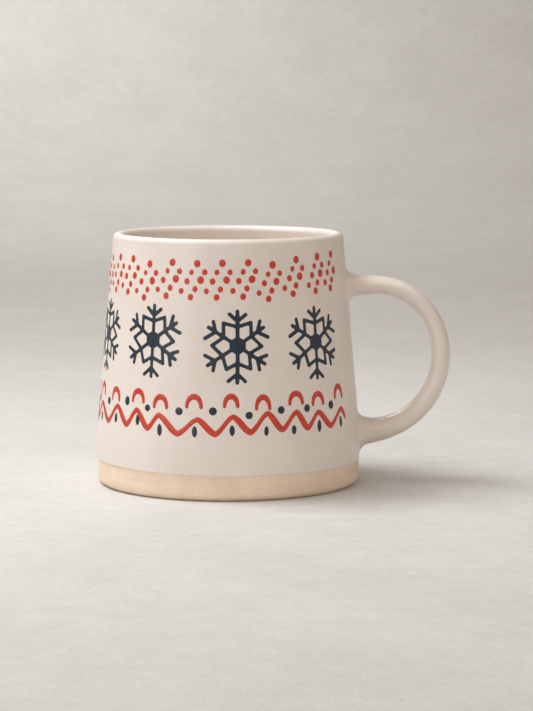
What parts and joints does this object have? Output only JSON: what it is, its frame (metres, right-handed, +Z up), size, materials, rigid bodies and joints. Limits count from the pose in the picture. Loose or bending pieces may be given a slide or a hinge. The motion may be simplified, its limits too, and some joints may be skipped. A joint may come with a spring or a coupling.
{
  "type": "stoneware mug",
  "caption": "Glazed stoneware mug with a strap handle, a bare clay foot and hand-painted bands of dots, snowflakes, arches and a wave.",
  "frame": {"origin": "centre of the foot, on the table", "axes": "+X points to the handle, +Z points up out of the mouth, -Y is the side that faces someone who holds the handle in their right hand"},
  "size_m": [0.1343, 0.1, 0.095],
  "materials": {
    "clay": "matte",
    "glaze": "satin",
    "red_enamel": "satin",
    "navy_enamel": "satin"
  },
  "bodies": {
    "root": {"stoneware_body": "clay", "upper_handle_joint": "clay", "lower_handle_joint": "clay", "handle_core": "clay", "outer_glaze": "glaze", "inner_glaze": "glaze", "handle_glaze": "glaze", "dot_row_1": "red_enamel", "dot_row_2": "red_enamel", "dot_row_3": "red_enamel", "dot_row_4": "red_enamel", "dot_row_5": "red_enamel", "snowflake_1": "navy_enamel", "snowflake_2": "navy_enamel", "snowflake_3": "navy_enamel", "snowflake_4": "navy_enamel", "snowflake_5": "navy_enamel", "snowflake_6": "navy_enamel", "snowflake_7": "navy_enamel", "snowflake_8": "navy_enamel", "red_wave": "red_enamel", "red_arches": "red_enamel", "navy_dots": "navy_enamel", "navy_drops": "navy_enamel"}
  },
  "joints": []
}
